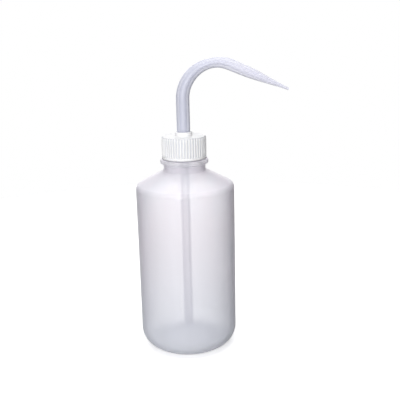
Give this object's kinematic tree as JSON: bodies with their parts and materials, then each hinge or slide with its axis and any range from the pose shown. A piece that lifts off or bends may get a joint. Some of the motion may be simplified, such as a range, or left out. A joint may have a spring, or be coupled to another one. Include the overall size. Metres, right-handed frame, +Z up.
{
  "type": "wash bottle",
  "caption": "Squeeze wash bottle: translucent round body, ribbed white screw cap, bent tapered jet spout and a straight dip tube.",
  "frame": {"origin": "centre of the base, on the bottle's axis, at the level of the surface that it stands on", "axes": "+Z up along the bottle's axis, +X the way the spout points at rest, +Y away from a viewer who sees the spout point right"},
  "size_m": [0.116, 0.075, 0.2231],
  "materials": {
    "bottle_wall": "satin, milky see-through low-density polyethylene",
    "white_cap": "opaque white polypropylene, satin",
    "spout_wall": "milky see-through low-density polyethylene, glossy",
    "seal_rubber": "soft pale grey silicone",
    "tube_wall": "milky see-through low-density polyethylene"
  },
  "bodies": {
    "bottle": {"bottle": "bottle_wall"},
    "seal": {"sealing_ring": "seal_rubber"},
    "riser": {"dip_tube": "tube_wall"},
    "cap": {"screw_cap": "white_cap"},
    "spout": {"spout": "spout_wall"}
  },
  "joints": [
    {"name": "closure_lift", "type": "slide", "parent": "bottle", "child": "seal", "axis": [0, 0, 1], "range_m": [0, 0.17]},
    {"name": "closure_rise", "type": "slide", "parent": "seal", "child": "riser", "axis": [0, 0, 1], "range_m": [0, 0.0063]},
    {"name": "cap_turn", "type": "hinge", "parent": "riser", "child": "cap", "pos_m": [0, 0, 0.158], "axis": [0, 0, 1], "range_deg": [0, 540]},
    {"name": "spout_swivel", "type": "hinge", "parent": "riser", "child": "spout", "pos_m": [0, 0, 0.158], "axis": [0, 0, 1], "continuous": true}
  ],
  "couplings": [
    {"joint": "closure_rise", "follows": "cap_turn", "m_per_rad": 0.00066845}
  ]
}
